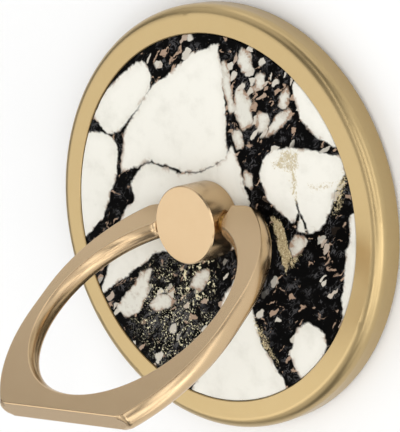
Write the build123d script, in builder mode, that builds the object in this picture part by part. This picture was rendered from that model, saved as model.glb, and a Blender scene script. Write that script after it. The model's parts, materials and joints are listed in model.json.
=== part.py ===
import math
import os

from build123d import *

# A finger ring that folds and turns on a round disc, which sticks to the back of a phone.
# The disc lies on its adhesive pad: Z = 0 is the sticky face, +Z is the front,
# and +X runs along the hinge of the ring. All sizes are in millimetres.

# Clearances
running_clearance = 0.04
slide_gap = 0.02
seat_clearance = 0.05
press_clearance = 0.01

# Disc
disc_radius = 20.0
rim_width = 2.7
rim_shoulder_radius = 1.1
rim_back_radius = 0.3
rim_mouth_chamfer = 0.08
rear_wall = 1.2
bore_web_thickness = 0.5
inlay_set_back = 0.1

# Layers of the disc
pad_thickness = 0.8
pad_proud = 0.3
pad_margin = 0.4
plate_thickness = 0.5
tape_thickness = 0.1
tape_margin = 0.3
inlay_thickness = 0.6
inlay_hole_margin = 0.3
inlay_edge_chamfer = 0.06

# Swivel
hub_radius = 3.66
hub_cap_height = 1.8
hub_lift = 0.05
hub_face_chamfer = 0.12
hub_foot_chamfer = 0.08
stem_radius = 1.9
friction_washer_width = 3.0
friction_washer_thickness = 0.2
spring_width = 2.7
spring_thickness = 0.18
spring_cone = 0.12
retaining_width = 2.4
retaining_thickness = 0.25
screw_radius = 0.8
screw_head_width = 0.8
screw_head_height = 0.35
screw_head_gap = 0.05
screw_slot_width = 0.35
screw_slot_depth = 0.18
screw_slot_margin = 0.4
tapped_hole_floor = 0.35
tapped_hole_run_out = 0.2
rear_pocket_margin = 0.3

# Hinge
pin_radius = 0.5
pin_engagement = 1.5
pin_end_gap = 0.1
pin_chamfer = 0.1
bush_wall = 0.35
bush_seat_depth = 0.35
hinge_side_gap = 0.25

# Ring
ring_opening_angle = 54.0
ring_thickness = 1.85
ring_opening_radius = 10.35
ring_opening_bulge = 0.42
ring_side_width = 1.38
ring_flank_bulge = 0.45
ring_hinge_wall = 0.75
ring_foot_wall = 2.15
ring_end_rise = 1.44
ring_shoulder_lift = 1.35
ring_shoulder_offset = 1.05
ring_tail_lowering = 1.25
ring_tail_offset = 3.45
ring_corner_radius = 0.7
ring_throat_radius = 1.1
ring_edge_radius = 0.15
ring_wall_overrun = 0.09
quarter_turn = 90.0
ring_swing_clearance = 0.06

# Heights, stacked from the sticky face to the front
screw_head_back_z = pad_thickness + screw_head_gap
retaining_back_z = screw_head_back_z + screw_head_height
stem_end_z = retaining_back_z + retaining_thickness
spring_front_z = stem_end_z + spring_cone + spring_thickness
friction_washer_back_z = spring_front_z + slide_gap
web_back_z = friction_washer_back_z + friction_washer_thickness
pocket_floor_z = web_back_z + bore_web_thickness
inlay_back_z = pocket_floor_z + tape_thickness
inlay_front_z = inlay_back_z + inlay_thickness
shell_front_z = inlay_front_z + inlay_set_back
shell_back_z = pad_proud
plate_front_z = pad_thickness + plate_thickness
hub_back_z = inlay_front_z + hub_lift

# The pin is high enough for the ring's ends to swing clear of the inlay.
ring_half_thickness = ring_thickness / 2
ring_corner_reach = math.hypot(ring_end_rise - ring_edge_radius, ring_half_thickness - ring_edge_radius)
ring_swing_radius = ring_corner_reach + ring_edge_radius
hinge_z = inlay_front_z + ring_swing_radius + ring_swing_clearance
hub_front_z = hinge_z + hub_cap_height
tapped_hole_end_z = hinge_z - pin_radius - tapped_hole_floor
screw_tip_z = tapped_hole_end_z - tapped_hole_run_out

# Radii, from the stem outwards
stem_bore_radius = stem_radius + running_clearance
screw_head_radius = screw_radius + screw_head_width
friction_washer_radius = stem_radius + friction_washer_width
spring_radius = stem_radius + spring_width
retaining_radius = stem_radius + retaining_width
rear_pocket_radius = friction_washer_radius + rear_pocket_margin
inlay_hole_radius = hub_radius - inlay_hole_margin
pocket_radius = disc_radius - rim_width
rear_recess_radius = disc_radius - rear_wall

# Places along the hinge
bush_radius = pin_radius + bush_wall
bush_seat_x = hub_radius - bush_seat_depth
ring_end_x = hub_radius + hinge_side_gap
pin_end_x = ring_end_x + pin_engagement

# Outline of the ring, measured from the pin. Each flank is an arc at the shoulder, a short straight
# and a wider arc at the tail, and the arcs are centred beyond the ring's middle line.
ring_half_width = ring_opening_radius + ring_opening_bulge + ring_side_width
ring_centre_drop = ring_opening_radius + ring_hinge_wall
ring_shoulder_drop = ring_centre_drop - ring_shoulder_lift
ring_tail_drop = ring_centre_drop + ring_tail_lowering
ring_foot_drop = ring_centre_drop + ring_opening_radius + ring_foot_wall
ring_length = ring_end_rise + ring_foot_drop

# The ring's walls are arcs that bulge from face to face. They are first made to run past the faces.
ring_wall_reach = ring_half_thickness + ring_wall_overrun
flank_wall_radius = (ring_half_thickness**2 + ring_flank_bulge**2) / (2 * ring_flank_bulge)
opening_wall_radius = (ring_half_thickness**2 + ring_opening_bulge**2) / (2 * ring_opening_bulge)
flank_fall = flank_wall_radius - math.sqrt(flank_wall_radius**2 - ring_wall_reach**2)
opening_flare = opening_wall_radius - math.sqrt(opening_wall_radius**2 - ring_wall_reach**2)
flank_belly_x = ring_half_width + ring_flank_bulge
flank_lip_x = flank_belly_x - flank_fall
opening_lip_radius = ring_opening_radius + opening_flare

# The hinge plane looks along the pin. The ring's plane is turned about the pin, with its y axis
# pointing from the ring to the pin and its z axis out of the ring's front face.
hinge_plane = Plane(origin=(0, 0, hinge_z), x_dir=(0, 1, 0), z_dir=(1, 0, 0))
ring_plane = Plane(origin=(0, 0, hinge_z)).rotated((-ring_opening_angle, 0, 0))
ring_lengthwise = Axis(ring_plane.origin, ring_plane.y_dir)

os.makedirs("parts", exist_ok=True)


# Base shell: a turned tray with a pocket in front for the inlay, a recess behind for the plate
# and pad, and a deeper pocket behind for the swivel's washers.
with BuildPart() as base_shell:
    with BuildSketch(Plane.XZ):
        with BuildLine():
            Polyline(
                (stem_bore_radius, web_back_z),
                (rear_pocket_radius, web_back_z),
                (rear_pocket_radius, plate_front_z),
                (rear_recess_radius, plate_front_z),
                (rear_recess_radius, shell_back_z),
                (disc_radius, shell_back_z),
                (disc_radius, shell_front_z),
                (pocket_radius, shell_front_z),
                (pocket_radius, pocket_floor_z),
                (stem_bore_radius, pocket_floor_z),
                close=True,
            )
        make_face()
    revolve(axis=Axis.Z)
    rim_edges = base_shell.faces().sort_by(Axis.Z)[-1].edges().sort_by(SortBy.RADIUS)
    chamfer(rim_edges[0], rim_mouth_chamfer)
    wall_edges = base_shell.edges().filter_by(GeomType.CIRCLE).group_by(SortBy.RADIUS)[-1]
    fillet(wall_edges.sort_by(Axis.Z)[-1], rim_shoulder_radius)
    wall_edges = base_shell.edges().filter_by(GeomType.CIRCLE).group_by(SortBy.RADIUS)[-1]
    fillet(wall_edges.sort_by(Axis.Z)[0], rim_back_radius)
base_shell.part.label = "base_shell"
export_step(base_shell.part, "parts/base_shell.step")


# Inlay tape: a film between the pocket's floor and the inlay.
with BuildPart() as inlay_tape:
    with BuildSketch(Plane.XY.offset(pocket_floor_z)):
        Circle(pocket_radius - tape_margin)
        Circle(inlay_hole_radius + tape_margin, mode=Mode.SUBTRACT)
    extrude(amount=tape_thickness)
inlay_tape.part.label = "inlay_tape"
export_step(inlay_tape.part, "parts/inlay_tape.step")


# Marble inlay: a thin disc with a hole that the hub covers.
with BuildPart() as marble_inlay:
    with BuildSketch(Plane.XY.offset(inlay_back_z)):
        Circle(pocket_radius - seat_clearance)
        Circle(inlay_hole_radius, mode=Mode.SUBTRACT)
    extrude(amount=inlay_thickness)
    face_edges = marble_inlay.faces().sort_by(Axis.Z)[-1].edges().sort_by(SortBy.RADIUS)
    chamfer(face_edges[-1], inlay_edge_chamfer)
marble_inlay.part.label = "marble_inlay"
export_step(marble_inlay.part, "parts/marble_inlay.step")


# Swivel washer: it stands on the pocket's floor in the inlay's hole, and the hub turns on it.
with BuildPart() as swivel_washer:
    with BuildSketch(Plane.XY.offset(pocket_floor_z)):
        Circle(inlay_hole_radius - seat_clearance)
        Circle(stem_bore_radius, mode=Mode.SUBTRACT)
    extrude(amount=hub_back_z - slide_gap - pocket_floor_z)
swivel_washer.part.label = "swivel_washer"
export_step(swivel_washer.part, "parts/swivel_washer.step")


# Swivel hub: a turned head and stem, tapped from behind, with the pin's hole across the head
# and a flat-bottomed seat for a bush at each end of that hole.
with BuildPart() as swivel_hub:
    with BuildSketch(Plane.XZ):
        with BuildLine():
            Polyline(
                (0, stem_end_z),
                (stem_radius, stem_end_z),
                (stem_radius, hub_back_z),
                (hub_radius, hub_back_z),
                (hub_radius, hub_front_z),
                (0, hub_front_z),
                close=True,
            )
        make_face()
    revolve(axis=Axis.Z)
    head_edges = swivel_hub.edges().filter_by(GeomType.CIRCLE).group_by(SortBy.RADIUS)[-1]
    chamfer(head_edges.sort_by(Axis.Z)[-1], hub_face_chamfer)
    chamfer(head_edges.sort_by(Axis.Z)[0], hub_foot_chamfer)
    with BuildSketch(Plane.XY.offset(stem_end_z)):
        Circle(screw_radius + press_clearance)
    extrude(amount=tapped_hole_end_z - stem_end_z, mode=Mode.SUBTRACT)
    with BuildSketch(hinge_plane):
        Circle(pin_radius + press_clearance)
    extrude(amount=hub_radius, both=True, mode=Mode.SUBTRACT)
    for side in (-1, 1):
        with BuildSketch(hinge_plane.offset(side * bush_seat_x)):
            Circle(bush_radius + press_clearance)
        extrude(amount=side * bush_seat_depth, mode=Mode.SUBTRACT)
swivel_hub.part.label = "swivel_hub"
export_step(swivel_hub.part, "parts/swivel_hub.step")


# Hinge pin: held in the hub, with its ends in the ring.
with BuildPart() as hinge_pin:
    with BuildSketch(hinge_plane):
        Circle(pin_radius)
    extrude(amount=pin_end_x, both=True)
    chamfer(hinge_pin.edges().filter_by(GeomType.CIRCLE), pin_chamfer)
hinge_pin.part.label = "hinge_pin"
export_step(hinge_pin.part, "parts/hinge_pin.step")


# Hinge bushes: collars on the pin that keep the ring's ends off the hub.
for side, side_name in ((-1, "left"), (1, "right")):
    with BuildPart() as hinge_bush:
        with BuildSketch(hinge_plane.offset(side * bush_seat_x)):
            Circle(bush_radius)
            Circle(pin_radius + press_clearance, mode=Mode.SUBTRACT)
        extrude(amount=side * (ring_end_x - slide_gap - bush_seat_x))
    hinge_bush.part.label = f"hinge_bush_{side_name}"
    export_step(hinge_bush.part, f"parts/hinge_bush_{side_name}.step")


# Finger ring: its right half is built and then mirrored. The flanks bulge and bend, the foot and the
# hinge ends are square, and a gap beside the round opening lets the hub in between the ends.
with BuildPart() as finger_ring:
    for offset, drop, bend in (
        (ring_shoulder_offset, ring_shoulder_drop, quarter_turn),
        (ring_tail_offset, ring_tail_drop, -quarter_turn),
    ):
        bend_centre = ring_plane.from_local_coords((-offset, -drop, 0))
        with BuildSketch(Plane(bend_centre, ring_plane.x_dir, -ring_plane.y_dir)) as flank_section:
            with BuildLine():
                wall = ThreePointArc(
                    (offset + flank_lip_x, -ring_wall_reach),
                    (offset + flank_belly_x, 0),
                    (offset + flank_lip_x, ring_wall_reach),
                )
                Polyline(wall @ 1, (0, ring_wall_reach), (0, -ring_wall_reach), wall @ 0)
            make_face()
        revolve(axis=Axis(bend_centre, ring_plane.z_dir), revolution_arc=bend)
    extrude(flank_section.sketch, amount=ring_shoulder_drop - ring_tail_drop)
    with BuildSketch(ring_plane) as half_outline:
        with Locations((0, ring_end_rise)):
            Rectangle(2 * ring_half_width, ring_length, align=(Align.MIN, Align.MAX))
    extrude(amount=ring_thickness, both=True, mode=Mode.INTERSECT)
    outline_faces = finger_ring.faces().sort_by(ring_lengthwise)
    foot_corner = outline_faces[0].edges().sort_by(Axis.X)[-1]
    end_corner = outline_faces[-1].edges().sort_by(Axis.X)[-1]
    fillet((foot_corner, end_corner), ring_corner_radius)

    opening_centre = ring_plane.from_local_coords((0, -ring_centre_drop, 0))
    with BuildSketch(Plane(opening_centre, ring_plane.x_dir, -ring_plane.y_dir)):
        with BuildLine():
            wall = ThreePointArc(
                (opening_lip_radius, -ring_wall_reach),
                (ring_opening_radius, 0),
                (opening_lip_radius, ring_wall_reach),
            )
            Polyline(wall @ 1, (0, ring_wall_reach), (0, -ring_wall_reach), wall @ 0)
        make_face()
    revolve(axis=Axis(opening_centre, ring_plane.z_dir), mode=Mode.SUBTRACT)
    with BuildSketch(ring_plane):
        with Locations((0, ring_end_rise)):
            Rectangle(ring_end_x, ring_end_rise + ring_centre_drop, align=(Align.MIN, Align.MAX))
    extrude(amount=ring_thickness, both=True, mode=Mode.SUBTRACT)
    hub_side_face = finger_ring.faces().filter_by(Axis.X).sort_by(ring_lengthwise)[-1]
    fillet(hub_side_face.edges().sort_by(ring_lengthwise)[0], ring_throat_radius)

    extrude(half_outline.sketch, amount=ring_half_thickness, both=True, mode=Mode.INTERSECT)
    broad_edges = finger_ring.faces().filter_by(ring_plane).edges()
    fillet(broad_edges.filter_by_position(Axis.X, 0, flank_belly_x, (False, True)), ring_edge_radius)
    mirror(about=Plane.YZ)
    with BuildSketch(hinge_plane):
        Circle(pin_radius + running_clearance)
    extrude(amount=pin_end_x + pin_end_gap, both=True, mode=Mode.SUBTRACT)
finger_ring.part.label = "finger_ring"
export_step(finger_ring.part, "parts/finger_ring.step")


# Friction washer: it stays against the tray's web while the spring turns on it.
with BuildPart() as friction_washer:
    with BuildSketch(Plane.XY.offset(friction_washer_back_z)):
        Circle(friction_washer_radius)
        Circle(stem_bore_radius, mode=Mode.SUBTRACT)
    extrude(amount=friction_washer_thickness)
friction_washer.part.label = "friction_washer"
export_step(friction_washer.part, "parts/friction_washer.step")


# Spring washer: a shallow cone that presses its outer edge on the friction washer.
with BuildPart() as spring_washer:
    with BuildSketch(Plane.XZ):
        with BuildLine():
            Polyline(
                (stem_bore_radius, stem_end_z),
                (spring_radius, stem_end_z + spring_cone),
                (spring_radius, spring_front_z),
                (stem_bore_radius, stem_end_z + spring_thickness),
                close=True,
            )
        make_face()
    revolve(axis=Axis.Z)
spring_washer.part.label = "spring_washer"
export_step(spring_washer.part, "parts/spring_washer.step")


# Retaining washer: clamped to the end of the stem, under the spring.
with BuildPart() as retaining_washer:
    with BuildSketch(Plane.XY.offset(retaining_back_z)):
        Circle(retaining_radius)
        Circle(screw_radius + seat_clearance, mode=Mode.SUBTRACT)
    extrude(amount=retaining_thickness)
retaining_washer.part.label = "retaining_washer"
export_step(retaining_washer.part, "parts/retaining_washer.step")


# Retaining screw: a flat head with a cross slot, and a shank in the stem's tapped hole.
with BuildPart() as retaining_screw:
    with BuildSketch(Plane.XY.offset(screw_head_back_z)):
        Circle(screw_head_radius)
    extrude(amount=screw_head_height)
    with BuildSketch(Plane.XY.offset(retaining_back_z)):
        Circle(screw_radius)
    extrude(amount=screw_tip_z - retaining_back_z)
    slot_length = 2 * (screw_head_radius - screw_slot_margin)
    with BuildSketch(Plane.XY.offset(screw_head_back_z)):
        Rectangle(slot_length, screw_slot_width)
        Rectangle(screw_slot_width, slot_length)
    extrude(amount=screw_slot_depth, mode=Mode.SUBTRACT)
retaining_screw.part.label = "retaining_screw"
export_step(retaining_screw.part, "parts/retaining_screw.step")


# Back plate: a steel ring that closes the recess around the swivel's washers.
with BuildPart() as back_plate:
    with BuildSketch(Plane.XY.offset(pad_thickness)):
        Circle(rear_recess_radius - seat_clearance)
        Circle(rear_pocket_radius, mode=Mode.SUBTRACT)
    extrude(amount=plate_thickness)
back_plate.part.label = "back_plate"
export_step(back_plate.part, "parts/back_plate.step")


# Adhesive pad: it stands a little proud of the tray's back edge.
with BuildPart() as adhesive_pad:
    with BuildSketch(Plane.XY):
        Circle(rear_recess_radius - pad_margin)
    extrude(amount=pad_thickness)
adhesive_pad.part.label = "adhesive_pad"
export_step(adhesive_pad.part, "parts/adhesive_pad.step")
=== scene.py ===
import json
import math

import bpy
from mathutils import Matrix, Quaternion, Vector

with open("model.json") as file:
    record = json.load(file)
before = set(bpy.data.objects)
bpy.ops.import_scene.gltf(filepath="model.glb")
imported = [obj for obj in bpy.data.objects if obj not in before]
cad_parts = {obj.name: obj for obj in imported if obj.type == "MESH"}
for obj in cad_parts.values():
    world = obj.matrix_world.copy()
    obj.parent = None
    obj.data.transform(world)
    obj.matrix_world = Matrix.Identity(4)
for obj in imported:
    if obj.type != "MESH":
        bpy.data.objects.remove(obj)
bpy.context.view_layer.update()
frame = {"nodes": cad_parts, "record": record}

# A phone ring holder on a white table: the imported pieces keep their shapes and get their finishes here.
# Lengths are in metres unless a name says otherwise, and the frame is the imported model's own.

MM = 0.001

# Camera, set to the photograph's viewing angle
CAMERA_TARGET_MM = (3.38, 1.14, 8.0)
CAMERA_AZIMUTH = 100.66
CAMERA_ELEVATION = 45.82
CAMERA_ROLL = -103.33
CAMERA_DISTANCE_MM = 180.07
FOCAL_PIXELS = 2000.0
IMAGE_LONG_SIDE = 432
SENSOR_MM = 36.0
CLIP_RANGE = (0.01, 10.0)

# Stage
FLOOR_HALF_WIDTH = 1.5
FLOOR_WHITE = (0.98, 0.98, 0.975, 1.0)
FLOOR_ROUGHNESS = 0.9
WORLD_GREY = (0.16, 0.16, 0.16, 1.0)

# Soft lamps: centre, width and height in millimetres, then the radiance of the lit face
LAMPS_MM = {
    "top_softbox": ((-10, -10, 420), (240, 330), 0.6),
    "ridge_strip": ((130, 0, 380), (900, 80), 1.8),
    "left_softbox": ((-285, -40, 310), (430, 380), 1.28),
    "front_left_softbox": ((-165, -265, 281), (320, 320), 0.75),
    "back_softbox": ((-150, 320, 200), (360, 260), 0.75),
    "key_softbox": ((300, 100, 302), (240, 140), 1.8),
    "front_high_softbox": ((225, -215, 290), (210, 260), 1.6),
    "front_softbox": ((372, 40, 170), (800, 240), 0.8),
    "side_strip": ((361, -117, 190), (150, 330), 1.1),
    "front_strip": ((395, -70, 50), (1000, 100), 1.6),
    "front_right_softbox": ((210, -330, 120), (320, 160), 0.9),
    "back_strip": ((20, 400, 55), (460, 110), 1.2),
    "low_left_strip": ((-280, -280, 45), (400, 90), 0.6),
    "low_back_strip": ((-290, 310, 45), (400, 110), 0.4),
}

# Finishes, as linear colours
GOLD = (0.575, 0.42, 0.251, 1.0)
GOLD_DEEP = (0.561, 0.405, 0.239, 1.0)
RIM_GOLD = (0.47, 0.35, 0.176, 1.0)
RIM_GOLD_DEEP = (0.457, 0.337, 0.166, 1.0)
BRASS = (0.6, 0.42, 0.17, 1.0)
BRASS_DEEP = (0.48, 0.32, 0.12, 1.0)
STEEL = (0.52, 0.52, 0.54, 1.0)
STEEL_DEEP = (0.4, 0.4, 0.42, 1.0)
NYLON = (0.72, 0.7, 0.62, 1.0)
NYLON_DEEP = (0.6, 0.58, 0.5, 1.0)
TAPE = (0.78, 0.78, 0.75, 1.0)
TAPE_DEEP = (0.66, 0.66, 0.63, 1.0)
FOAM = (0.018, 0.018, 0.02, 1.0)
FOAM_DEEP = (0.008, 0.008, 0.009, 1.0)
STONE_WHITE = (0.9, 0.88, 0.8, 1.0)
STONE_SHADE = (0.74, 0.72, 0.64, 1.0)
MATRIX_BLACK = (0.0015, 0.0014, 0.0013, 1.0)
FLECK_GREY = (0.07, 0.068, 0.07, 1.0)
FLECK_BEIGE = (0.4, 0.28, 0.2, 1.0)
FLECK_PALE = (0.62, 0.58, 0.5, 1.0)
GLITTER_GOLD = (0.8, 0.74, 0.5, 1.0)
GOLD_DUST = (0.6, 0.5, 0.3, 1.0)
BAND_GOLD = (0.33, 0.24, 0.12, 1.0)

# Grain of the plain finishes
GRAIN_SHARE = 0.4
CLOUD_SHARE = 0.6
GRAINS_PER_CLOUD = 12
TONE_LEVELS = (0.3, 0.7)
GLOSS_LEVELS = (0.2, 0.8)
GRAIN_DEPTH_MM = 0.02
GOLD_ROUGHNESS = (0.23, 0.27)
RIM_ROUGHNESS = (0.28, 0.32)
GOLD_GRAIN = 8.0
GOLD_BUMP = 0.012
METAL_BUMP = 0.2
TURNED_GRAIN = (4, 0.3, 0.3)
ROLLED_GRAIN = (0.3, 3, 3)

# White stones of the marble, by the corners of each convex outline, in millimetres on the disc
STONES_MM = {
    "upper": (
        (-10.2, 8.2), (-6.9, 5.5), (-3.4, 4.45), (-0.8, 4.4), (1.5, 5.3), (3.1, 6.3),
        (3.1, 9.5), (3.8, 16.6), (0.8, 15.6), (-5.5, 12.7), (-7.5, 11.2),
    ),
    "upper_left": ((-10.2, 8.2), (-10.9, 4.6), (-8.2, 5.0), (-6.5, 5.6), (-6.5, 8.0)),
    "hub_left": (
        (-10.0, 3.3), (-8.3, 4.7), (-6.9, 5.1), (-3.6, 4.05), (5.0, 0.6), (3.5, -2.5),
        (-8.5, -3.5),
    ),
    "hub_middle": ((-3.6, 4.0), (-0.6, 4.15), (1.6, 0.5), (-3.0, 0.0)),
    "hub_upper": ((-0.7, 4.1), (1.6, 5.1), (2.5, 2.0), (0.0, 0.0)),
    "hub_right": ((1.5, 5.0), (3.5, 6.7), (5.3, 0.2), (0.0, 0.0)),
    "arm_side": (
        (-9.8, 3.3), (-10.6, 1.8), (-14.6, -1.9), (-17.3, -4.0), (-16.0, -7.8), (-8.2, -3.6),
        (-6.0, 2.0),
    ),
    "left": (
        (-15.2, 8.3), (-12.2, 8.0), (-11.4, 7.2), (-11.4, 5.2), (-12.4, 3.0), (-14.0, 0.5),
        (-17.6, -2.2), (-18.0, 3.0),
    ),
    "oval": (
        (-14.2, 9.9), (-12.6, 8.3), (-10.5, 8.7), (-8.5, 10.4), (-6.2, 12.2), (-5.6, 13.8),
        (-6.5, 15.0), (-9.0, 14.2), (-12.0, 12.2),
    ),
    "upper_right": (
        (11.6, 11.9), (13.0, 14.0), (17.0, 10.0), (16.6, 7.2), (15.0, 7.2), (13.5, 7.6),
        (12.3, 8.9),
    ),
    "right": (
        (6.7, 4.3), (7.8, 5.8), (9.4, 6.4), (16.2, 6.0), (16.4, 4.6), (14.6, 1.0),
        (13.3, -0.6), (10.2, 0.0), (7.3, 2.0),
    ),
    "right_foot": ((11.1, 1.0), (13.3, -0.6), (12.4, -0.9), (10.8, -0.8)),
    "right_edge": ((18.0, 1.0), (16.8, 0.5), (14.7, -9.2), (18.0, -8.0)),
    "lower_right": (
        (8.3, -12.4), (9.6, -10.0), (11.0, -9.3), (12.6, -9.9), (12.8, -11.5), (12.0, -12.8),
        (9.5, -14.6), (9.0, -13.6),
    ),
    "bottom": ((-5.0, -17.5), (-0.8, -10.0), (0.7, -7.6), (3.7, -4.2), (5.0, -12.0), (5.6, -17.5)),
    "bottom_right": ((3.0, -9.0), (5.0, -11.8), (7.4, -15.0), (6.5, -17.5), (2.0, -17.5)),
}
# Smaller pale chips, outlined in the same way
CHIPS_MM = {
    "low_oval": (
        (-13.5, -8.8), (-12.8, -9.9), (-10.5, -9.3), (-9.0, -7.2), (-8.5, -5.1), (-9.7, -5.2),
        (-11.6, -6.9),
    ),
    "low_chip": ((-8.8, -8.6), (-8.3, -9.4), (-6.8, -8.9), (-5.7, -8.1), (-7.8, -7.6)),
    "inner_chip": ((-3.5, -6.5), (-2.5, -5.1), (-1.1, -4.7), (-1.1, -5.6), (-2.2, -6.7)),
    "top_chip": ((5.5, 14.6), (5.9, 13.6), (7.0, 13.6), (6.9, 15.2), (6.0, 15.6)),
    "vein_strip": ((3.3, 14.4), (3.2, 12.3), (3.9, 10.0), (4.6, 10.4), (4.2, 13.0), (4.0, 14.6)),
    "top_block": ((4.5, 9.8), (4.8, 11.6), (5.6, 12.1), (6.5, 11.0), (6.4, 9.2), (5.4, 8.5)),
    "middle_chip": ((6.7, 9.0), (7.4, 9.9), (8.3, 9.4), (7.9, 8.3), (7.0, 8.2)),
    "vein_chip": ((4.1, 6.6), (4.0, 8.2), (5.0, 8.4), (5.0, 6.8)),
    "long_chip": ((7.9, 7.8), (9.0, 9.2), (10.9, 10.1), (11.0, 9.2), (9.6, 8.1)),
    "grey_chip": ((9.7, 10.3), (10.1, 11.6), (10.8, 12.2), (11.1, 11.4), (10.5, 10.2)),
    "slim_chip": ((7.0, 12.0), (7.4, 13.4), (8.0, 13.6), (7.8, 12.2)),
    "band_chip": ((4.6, 3.4), (4.9, 4.4), (5.7, 4.1), (5.4, 2.8)),
    "dust_chip": ((9.8, -2.2), (10.4, -1.4), (11.5, -1.4), (11.2, -2.4), (10.0, -3.3)),
}
# Thin veils of gold dust, outlined in the same way
DUST_MM = {
    "stone_cloud": ((8.4, 4.9), (9.4, 6.3), (11.6, 6.2), (11.3, 4.6), (10.2, 4.2)),
    "stone_stem": ((10.2, 4.4), (11.1, 4.4), (10.9, 1.8), (10.6, 1.8)),
    "stone_cross": ((12.4, 3.1), (12.6, 2.7), (15.2, 3.0), (15.3, 3.4)),
    "edge_streak": ((16.9, 5.2), (16.2, 4.9), (15.6, 3.0), (14.7, 0.6), (15.2, 0.4), (16.4, 2.4)),
    "tail_streak": ((4.3, -9.0), (4.8, -9.4), (6.8, -13.4), (6.4, -13.4), (4.9, -11.6)),
}
# Solid bands of gold dust
BANDS_MM = {
    "hub_band": ((7.4, 0.5), (8.7, 0.2), (9.9, -3.2), (9.0, -4.9), (8.2, -3.6)),
    "band_tail": ((9.0, -4.6), (9.5, -3.6), (10.9, -2.9), (10.6, -3.4)),
}
# Black cracks in the right-hand stone
CRACKS_MM = {
    "crack_stem": ((10.6, 2.0), (10.8, 2.0), (11.0, 0.7), (10.75, 0.7)),
    "crack_left": ((10.75, 0.9), (11.0, 0.9), (10.5, -1.0), (10.15, -1.0)),
    "crack_right": ((10.8, 0.9), (11.05, 0.9), (12.1, -1.0), (11.8, -1.1)),
}

# Places on the disc, each with its reach, in millimetres: many pale flecks, worn ground, coarse glitter
RICH_SPOTS_MM = (((7.0, 11.5), 7.0), ((-3.0, 15.5), 6.0))
WORN_SPOT_MM = ((-6.0, -9.5), 8.5)
GLITTER_SPOT_MM = ((-2.6, -5.0), 4.6)

# Outlines of the marble, and the way they and its streaks wander
STONE_GROWTH_MM = 0.1
STONE_CORNER_MM = 0.45
STRATA_ANGLE = math.radians(35.0)
STREAK_STRETCH = (1.5, 0.75, 1)
STREAK_SHIFT = (31, 17, 0)
NOISE_MIDDLE = 0.5

# Limits between which a layer of the marble sets in: millimetres outside an outline, for an edge
STONE_EDGE = (-0.12, 0.12)
CRACK_EDGE = (-0.05, 0.12)
RIND_EDGE = (-1.1, 0.0)
TINT_EDGE = (-0.4, 0.0)
CHIP_RIND_EDGE = (-0.6, 0.0)
VEIL_EDGE = (-0.4, 0.6)
BAND_EDGE = (-0.3, 0.35)
# The same limits as values of a noise, a cell's draw or a cell's distance
CLOUD_LEVELS = (0.45, 0.8)
CURL_LEVELS = (0.01, 0.04)
CURL_PATCH_LEVELS = (0.47, 0.62)
HAZE_LEVELS = (0.61, 0.7)
FLECK_LEVELS = (0.62, 0.67)
SHARD_DRAW = (0.93, 0.95)
SHARD_RIM = (0.05, 0.14)
SHARD_TONE = (0.3, 0.7)
LARGE_DRAW = (0.97, 0.99)
LARGE_RIM = (0.3, 0.42)
TINT_LEVELS = (0.5, 0.62)
MOTTLE_PALE = (0.4, 0.6)
MOTTLE_BEIGE = (0.58, 0.7)
VEIL_LEVELS = (0.47, 0.58)
BAND_LEVELS = (0.46, 0.6)
GRIT_TONE = (0.4, 0.6)
CLUSTER_LEVELS = (0.4, 0.55)
COARSE_GRAINS = (0.56, 0.6)
COARSE_REACH = (0.15, 0.5)
FINE_GRAINS = (0.57, 0.62)
FINE_REACH = (0.1, 0.6)
SHINE_LEVELS = (0.3, 0.7)
# What a layer gives at its two limits
RISING = (0.0, 1.0)
FALLING = (1.0, 0.0)
CLOUD_SHADE = (0.0, 0.7)
CHIP_RIND_GAIN = (-0.1, 0.14)
VEIL_GAIN = (0.05, -0.2)
VEIL_COVER = (0.0, 0.9)
BAND_GAIN = (0.16, -0.25)
CLUSTER_SHARE = (0.2, 1.0)
MARBLE_ROUGHNESS = (0.42, 0.55)
# How strongly one layer acts on another
RIND_SHADE = 0.35
WORN_HAZE = 0.14
RICH_FLECKS = 0.06
RICH_SHARDS = 0.22
RICH_LARGE = 0.25
TINT_SHARE = 0.7
DUST_GLITTER = 0.5
GLITTER_RELIEF = 0.15
GLITTER_DEPTH_MM = 0.03
MARBLE_SPECULAR = 0.02

# Sockets of a colour mix
MIX_FIRST, MIX_SECOND, MIX_RESULT = 6, 7, 2


def make(tree, kind, inputs=None, **settings):
    """A node with its settings, and each input either linked to a socket or set to a value."""
    node = tree.nodes.new(kind)
    for name, value in settings.items():
        setattr(node, name, value)
    for key, value in (inputs or {}).items():
        if isinstance(value, bpy.types.NodeSocket):
            tree.links.new(value, node.inputs[key])
        else:
            node.inputs[key].default_value = value
    return node


def calc(tree, operation, *values, clamp=False):
    """The result of a Math node."""
    node = make(tree, "ShaderNodeMath", dict(enumerate(values)), operation=operation, use_clamp=clamp)
    return node.outputs[0]


def vector(tree, operation, inputs):
    """A Vector Math node."""
    return make(tree, "ShaderNodeVectorMath", inputs, operation=operation)


def between(tree, value, limits, results=RISING):
    """A value's smooth step from one result to another between two limits."""
    inputs = {
        "Value": value,
        "From Min": limits[0],
        "From Max": limits[1],
        "To Min": results[0],
        "To Max": results[1],
    }
    return make(tree, "ShaderNodeMapRange", inputs, interpolation_type="SMOOTHSTEP").outputs["Result"]


def mixed(tree, share, first, second):
    """Two colours mixed by a share that varies over the surface."""
    inputs = {"Factor": share, MIX_FIRST: first, MIX_SECOND: second}
    return make(tree, "ShaderNodeMix", inputs, data_type="RGBA").outputs[MIX_RESULT]


def noise(tree, place, per_mm, detail=3.0, roughness=0.5, distortion=0.0):
    """The value of a noise texture."""
    inputs = {
        "Vector": place,
        "Scale": per_mm,
        "Detail": detail,
        "Roughness": roughness,
        "Distortion": distortion,
    }
    return make(tree, "ShaderNodeTexNoise", inputs).outputs["Fac"]


def cells(tree, place, per_mm, feature="F1"):
    """A flat Voronoi texture."""
    inputs = {"Vector": place, "Scale": per_mm}
    return make(tree, "ShaderNodeTexVoronoi", inputs, voronoi_dimensions="2D", feature=feature)


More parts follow.
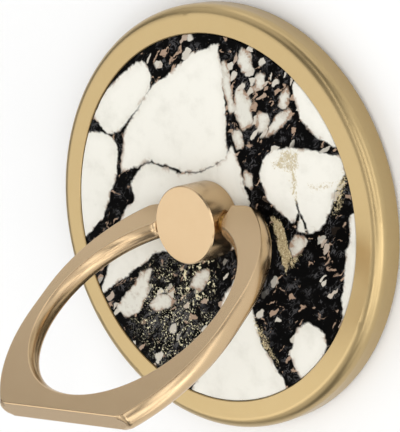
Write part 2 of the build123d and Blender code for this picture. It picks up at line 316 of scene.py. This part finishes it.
def draws(tree, cell):
    """The random numbers of a Voronoi texture's cells."""
    return make(tree, "ShaderNodeSeparateColor", {0: cell.outputs["Color"]}).outputs


def millimetres(tree):
    """A point of the surface in its piece's own frame, in millimetres."""
    place = make(tree, "ShaderNodeTexCoord").outputs["Object"]
    return vector(tree, "SCALE", {0: place, "Scale": 1 / MM}).outputs[0]


def new_finish(name):
    """An empty material with its shader: (material, tree, shader)."""
    material = bpy.data.materials.new(name)
    material.use_nodes = True
    tree = material.node_tree
    return material, tree, tree.nodes["Principled BSDF"]


def grained(name, colour, deep, metallic, roughness, grain_per_mm, bump, stretch=(1, 1, 1), specular=0.5):
    """A finish whose tone, roughness and relief follow one grain."""
    material, tree, shader = new_finish(name)
    place = make(tree, "ShaderNodeMapping", {"Vector": millimetres(tree), "Scale": stretch}).outputs[0]
    cloud = noise(tree, place, grain_per_mm / GRAINS_PER_CLOUD, detail=2.0)
    grain = noise(tree, place, grain_per_mm, detail=4.0, roughness=0.6)
    tone = calc(tree, "MULTIPLY_ADD", grain, GRAIN_SHARE, calc(tree, "MULTIPLY", cloud, CLOUD_SHARE))
    tree.links.new(mixed(tree, between(tree, tone, TONE_LEVELS), deep, colour), shader.inputs["Base Color"])
    tree.links.new(between(tree, tone, GLOSS_LEVELS, roughness), shader.inputs["Roughness"])
    height = {"Height": grain, "Strength": bump, "Distance": GRAIN_DEPTH_MM * MM}
    tree.links.new(make(tree, "ShaderNodeBump", height).outputs[0], shader.inputs["Normal"])
    shader.inputs["Metallic"].default_value = metallic
    shader.inputs["Specular IOR Level"].default_value = specular
    return material


def stone_distance(tree, place_1, corners):
    """How far a point lies outside a stone, from a vector that holds x, y and 1."""
    middle_x = sum(x for x, y in corners) / len(corners)
    middle_y = sum(y for x, y in corners) / len(corners)
    outside = None
    for (x0, y0), (x1, y1) in zip(corners, corners[1:] + corners[:1]):
        length = math.hypot(x1 - x0, y1 - y0)
        across_x, across_y = (y1 - y0) / length, (x0 - x1) / length
        offset = across_x * x0 + across_y * y0
        if across_x * middle_x + across_y * middle_y > offset:
            across_x, across_y, offset = -across_x, -across_y, -offset
        side = (across_x, across_y, -offset)
        past = vector(tree, "DOT_PRODUCT", {0: place_1, 1: side}).outputs["Value"]
        outside = past if outside is None else calc(tree, "SMOOTH_MAX", outside, past, STONE_CORNER_MM)
    return outside


def outside_of(tree, place_1, outlines):
    """How far a point lies outside the nearest of several outlines."""
    nearest = None
    for corners in outlines.values():
        distance = stone_distance(tree, place_1, corners)
        nearest = distance if nearest is None else calc(tree, "MINIMUM", nearest, distance)
    return nearest


def near(tree, flat, spot_mm):
    """1 at a place on the disc, falling to 0 at its reach."""
    (x, y), reach = spot_mm
    distance = vector(tree, "DISTANCE", {0: flat, 1: (x, y, 0.0)}).outputs["Value"]
    return between(tree, distance, (0.0, reach), FALLING)


def drifted(tree, place, flat, per_mm, size_mm, detail):
    """A place moved to and fro by a noise."""
    inputs = {"Vector": flat, "Scale": per_mm, "Detail": detail}
    colour = make(tree, "ShaderNodeTexNoise", inputs).outputs["Color"]
    centred = vector(tree, "SUBTRACT", {0: colour, 1: (NOISE_MIDDLE,) * 3}).outputs[0]
    shift = vector(tree, "SCALE", {0: centred, "Scale": size_mm}).outputs[0]
    return vector(tree, "ADD", {0: place, 1: shift}).outputs[0]


def marble_ground(tree, flat, moved, worn):
    """The black ground between the stones, with grey curls and haze, beige flecks and pale shards."""
    inputs = {"Vector": moved, "Rotation": (0, 0, STRATA_ANGLE), "Scale": STREAK_STRETCH}
    streak = make(tree, "ShaderNodeMapping", inputs, vector_type="TEXTURE").outputs[0]
    elsewhere = make(tree, "ShaderNodeMapping", {"Vector": streak, "Location": STREAK_SHIFT}).outputs[0]
    rich = calc(tree, "MAXIMUM", *(near(tree, flat, spot) for spot in RICH_SPOTS_MM))

    ridge = noise(tree, streak, per_mm=1.0, detail=5.0, roughness=0.6, distortion=1.2)
    curl = calc(tree, "ABSOLUTE", calc(tree, "SUBTRACT", ridge, NOISE_MIDDLE))
    curl = between(tree, curl, CURL_LEVELS, FALLING)
    patch = between(tree, noise(tree, moved, per_mm=0.6, detail=2.0), CURL_PATCH_LEVELS)
    curl = calc(tree, "MULTIPLY", curl, patch)
    haze = noise(tree, elsewhere, per_mm=1.5, detail=5.0, roughness=0.65)
    haze = calc(tree, "MULTIPLY_ADD", worn, WORN_HAZE, haze)
    grey = calc(tree, "MAXIMUM", curl, between(tree, haze, HAZE_LEVELS))
    ground = mixed(tree, grey, MATRIX_BLACK, FLECK_GREY)
    fleck = noise(tree, elsewhere, per_mm=0.95, detail=4.0, roughness=0.55, distortion=0.9)
    fleck = calc(tree, "MULTIPLY_ADD", rich, RICH_FLECKS, fleck)
    ground = mixed(tree, between(tree, fleck, FLECK_LEVELS), ground, FLECK_BEIGE)

    shard_draw = draws(tree, cells(tree, streak, per_mm=1.5))
    rim = cells(tree, streak, per_mm=1.5, feature="DISTANCE_TO_EDGE").outputs["Distance"]
    shard = between(tree, calc(tree, "MULTIPLY_ADD", rich, RICH_SHARDS, shard_draw[0]), SHARD_DRAW)
    shard = calc(tree, "MULTIPLY", shard, between(tree, rim, SHARD_RIM))
    pale = mixed(tree, between(tree, shard_draw[1], SHARD_TONE), FLECK_BEIGE, FLECK_PALE)
    ground = mixed(tree, shard, ground, pale)

    large_cell = cells(tree, elsewhere, per_mm=0.85)
    large_draw = draws(tree, large_cell)[0]
    large = between(tree, calc(tree, "MULTIPLY_ADD", rich, RICH_LARGE, large_draw), LARGE_DRAW)
    large_core = between(tree, large_cell.outputs["Distance"], LARGE_RIM, FALLING)
    return mixed(tree, calc(tree, "MULTIPLY", large, large_core), ground, FLECK_PALE)


def marble_white(tree, moved, outside, cloud):
    """The stones' white, with cloudy shade, a rind and a beige tint along some edges."""
    rind = between(tree, outside, RIND_EDGE)
    clouds = between(tree, cloud, CLOUD_LEVELS, CLOUD_SHADE)
    shade = calc(tree, "MULTIPLY_ADD", rind, RIND_SHADE, clouds, clamp=True)
    white = mixed(tree, shade, STONE_WHITE, STONE_SHADE)
    tinted = between(tree, noise(tree, moved, per_mm=0.8), TINT_LEVELS)
    tint = calc(tree, "MULTIPLY", between(tree, outside, TINT_EDGE), tinted)
    return mixed(tree, calc(tree, "MULTIPLY", tint, TINT_SHARE), white, FLECK_BEIGE)


def marble_chips(tree, moved, beyond):
    """The chips' mottled white and beige."""
    mottle = noise(tree, moved, per_mm=1.1, detail=5.0, roughness=0.65)
    mottle = calc(tree, "ADD", mottle, between(tree, beyond, CHIP_RIND_EDGE, CHIP_RIND_GAIN))
    chips = mixed(tree, between(tree, mottle, MOTTLE_PALE), STONE_SHADE, FLECK_PALE)
    return mixed(tree, between(tree, mottle, MOTTLE_BEIGE), chips, FLECK_BEIGE)


def gold_dust(tree, moved, place_1):
    """Gold dust in thin veils and solid bands: (its cover, its colour)."""
    grit = noise(tree, moved, per_mm=4.5, detail=5.0, roughness=0.8)
    veil = between(tree, outside_of(tree, place_1, DUST_MM), VEIL_EDGE, VEIL_GAIN)
    veil = between(tree, calc(tree, "ADD", grit, veil), VEIL_LEVELS, VEIL_COVER)
    band = between(tree, outside_of(tree, place_1, BANDS_MM), BAND_EDGE, BAND_GAIN)
    band = between(tree, calc(tree, "ADD", grit, band), BAND_LEVELS)
    tone = mixed(tree, between(tree, grit, GRIT_TONE), BAND_GOLD, GOLD_DUST)
    return calc(tree, "MAXIMUM", veil, band), tone


def glitter_grains(tree, flat, bare, worn, dust):
    """Glitter on the bare ground: coarse grains below the hub, and fine ones around and in the dust."""

    def grains(per_mm, limits):
        return between(tree, noise(tree, flat, per_mm, detail=2.0, roughness=0.75, distortion=0.4), limits)

    cluster = between(tree, noise(tree, flat, per_mm=0.9), CLUSTER_LEVELS, CLUSTER_SHARE)
    room = calc(tree, "MULTIPLY", bare, cluster)
    close = calc(tree, "MULTIPLY", near(tree, flat, GLITTER_SPOT_MM), room)
    wide = calc(tree, "MULTIPLY", worn, room)
    wide = calc(tree, "MAXIMUM", wide, calc(tree, "MULTIPLY", dust, DUST_GLITTER))
    coarse = calc(tree, "MULTIPLY", grains(1.7, COARSE_GRAINS), between(tree, close, COARSE_REACH))
    fine = calc(tree, "MULTIPLY", grains(4.2, FINE_GRAINS), between(tree, wide, FINE_REACH))
    return calc(tree, "MAXIMUM", coarse, fine)


def marble_finish():
    """Printed breccia marble: white stones in a black ground with flecks, gold dust and glitter."""
    material, tree, shader = new_finish("marble_print")
    flat = vector(tree, "MULTIPLY", {0: millimetres(tree), 1: (1, 1, 0)}).outputs[0]
    moved = drifted(tree, flat, flat, per_mm=0.28, size_mm=1.2, detail=1.0)
    moved = drifted(tree, moved, flat, per_mm=1.5, size_mm=0.6, detail=5.0)
    parts = make(tree, "ShaderNodeSeparateXYZ", {0: moved}).outputs
    place_1 = make(tree, "ShaderNodeCombineXYZ", {"X": parts["X"], "Y": parts["Y"], "Z": 1.0}).outputs[0]

    outside = calc(tree, "SUBTRACT", outside_of(tree, place_1, STONES_MM), STONE_GROWTH_MM)
    beyond = calc(tree, "SUBTRACT", outside_of(tree, place_1, CHIPS_MM), STONE_GROWTH_MM)
    crack = between(tree, outside_of(tree, place_1, CRACKS_MM), CRACK_EDGE, FALLING)
    stone = between(tree, outside, STONE_EDGE, FALLING)
    stone = calc(tree, "MULTIPLY", stone, calc(tree, "SUBTRACT", 1.0, crack))
    chip = between(tree, beyond, STONE_EDGE, FALLING)
    bare = calc(tree, "SUBTRACT", 1.0, calc(tree, "MAXIMUM", stone, chip))
    worn = near(tree, flat, WORN_SPOT_MM)
    cloud = noise(tree, flat, per_mm=0.35, detail=5.0, roughness=0.6)

    colour = mixed(tree, chip, marble_ground(tree, flat, moved, worn), marble_chips(tree, moved, beyond))
    colour = mixed(tree, stone, colour, marble_white(tree, moved, outside, cloud))
    dust, dust_tone = gold_dust(tree, moved, place_1)
    colour = mixed(tree, dust, colour, dust_tone)
    glitter = glitter_grains(tree, flat, bare, worn, dust)
    colour = mixed(tree, glitter, colour, GLITTER_GOLD)

    tree.links.new(colour, shader.inputs["Base Color"])
    tree.links.new(between(tree, cloud, SHINE_LEVELS, MARBLE_ROUGHNESS), shader.inputs["Roughness"])
    height = {"Height": glitter, "Strength": GLITTER_RELIEF, "Distance": GLITTER_DEPTH_MM * MM}
    tree.links.new(make(tree, "ShaderNodeBump", height).outputs[0], shader.inputs["Normal"])
    shader.inputs["Specular IOR Level"].default_value = MARBLE_SPECULAR
    return material


def metal(name, colour, deep, roughness, grain_per_mm, bump, stretch=(1, 1, 1)):
    """A grained metal finish."""
    return grained(name, colour, deep, 1.0, roughness, grain_per_mm, bump, stretch=stretch)


def plain(name, colour, deep, roughness, grain_per_mm, bump, specular=0.5):
    """A grained finish that is not metal."""
    return grained(name, colour, deep, 0.0, roughness, grain_per_mm, bump, specular=specular)


def dress():
    """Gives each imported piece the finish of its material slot, and the tray a gold of its own."""
    finishes = {
        "gold_metal": metal("satin_gold", GOLD, GOLD_DEEP, GOLD_ROUGHNESS, GOLD_GRAIN, GOLD_BUMP),
        "rim": metal("matt_gold", RIM_GOLD, RIM_GOLD_DEEP, RIM_ROUGHNESS, GOLD_GRAIN, GOLD_BUMP),
        "marble": marble_finish(),
        "brass": metal("turned_brass", BRASS, BRASS_DEEP, (0.22, 0.36), 8.0, METAL_BUMP, TURNED_GRAIN),
        "steel": metal("plain_steel", STEEL, STEEL_DEEP, (0.25, 0.4), 6.0, METAL_BUMP, ROLLED_GRAIN),
        "nylon": plain("natural_nylon", NYLON, NYLON_DEEP, (0.45, 0.6), grain_per_mm=5.0, bump=0.15),
        "tape": plain("clear_film", TAPE, TAPE_DEEP, (0.3, 0.45), grain_per_mm=3.0, bump=0.1),
        "foam": plain("matt_foam", FOAM, FOAM_DEEP, (0.75, 0.95), grain_per_mm=7.0, bump=0.6, specular=0.2),
    }
    for entry in frame["record"]["subparts"]:
        slot = "rim" if entry["node"] == "base_shell" else entry["material_slot"]
        piece = frame["nodes"][entry["node"]]
        piece.data.materials.clear()
        piece.data.materials.append(finishes[slot])


def add_floor():
    """A white table top at the height of the adhesive face."""
    side = FLOOR_HALF_WIDTH
    corners = [(-side, -side, 0), (side, -side, 0), (side, side, 0), (-side, side, 0)]
    mesh = bpy.data.meshes.new("floor")
    mesh.from_pydata(corners, [], [(0, 1, 2, 3)])
    floor = bpy.data.objects.new("floor", mesh)
    bpy.context.scene.collection.objects.link(floor)
    material, tree, shader = new_finish("white_table")
    shader.inputs["Base Color"].default_value = FLOOR_WHITE
    shader.inputs["Roughness"].default_value = FLOOR_ROUGHNESS
    shader.inputs["Specular IOR Level"].default_value = 0.0
    mesh.materials.append(material)


def add_softbox(name, centre_mm, size_mm, radiance):
    """A soft lamp that faces the part and shows in reflections, but not to the camera."""
    width_mm, height_mm = size_mm
    lamp = bpy.data.lights.new(name, "AREA")
    lamp.shape = "RECTANGLE"
    lamp.size, lamp.size_y = width_mm * MM, height_mm * MM
    lamp.energy = radiance * math.pi * lamp.size * lamp.size_y
    softbox = bpy.data.objects.new(name, lamp)
    softbox.location = Vector(centre_mm) * MM
    softbox.rotation_mode = "QUATERNION"
    softbox.rotation_quaternion = (-softbox.location).to_track_quat("-Z", "Y")
    softbox.visible_camera = False
    bpy.context.scene.collection.objects.link(softbox)


def add_lights():
    """Soft lamps all round and above the part, over an even grey."""
    for name, (centre_mm, size_mm, radiance) in LAMPS_MM.items():
        add_softbox(name, centre_mm, size_mm, radiance)
    world = bpy.data.worlds.new("studio")
    world.use_nodes = True
    world.node_tree.nodes["Background"].inputs["Color"].default_value = WORLD_GREY
    bpy.context.scene.world = world


def add_camera():
    """A camera aimed and rolled as in the photograph."""
    azimuth, elevation = math.radians(CAMERA_AZIMUTH), math.radians(CAMERA_ELEVATION)
    towards = Vector((
        math.sin(azimuth) * math.cos(elevation),
        -math.cos(azimuth) * math.cos(elevation),
        math.sin(elevation),
    ))
    camera = bpy.data.objects.new("camera", bpy.data.cameras.new("camera"))
    camera.data.sensor_width = SENSOR_MM
    camera.data.lens = FOCAL_PIXELS * SENSOR_MM / IMAGE_LONG_SIDE
    camera.data.clip_start, camera.data.clip_end = CLIP_RANGE
    camera.location = (Vector(CAMERA_TARGET_MM) + towards * CAMERA_DISTANCE_MM) * MM
    camera.rotation_mode = "QUATERNION"
    roll = Quaternion((0, 0, 1), math.radians(CAMERA_ROLL))
    camera.rotation_quaternion = (-towards).to_track_quat("-Z", "Y") @ roll
    bpy.context.scene.collection.objects.link(camera)
    bpy.context.scene.camera = camera


dress()
add_floor()
add_lights()
add_camera()
bpy.context.scene.view_settings.view_transform = "Standard"
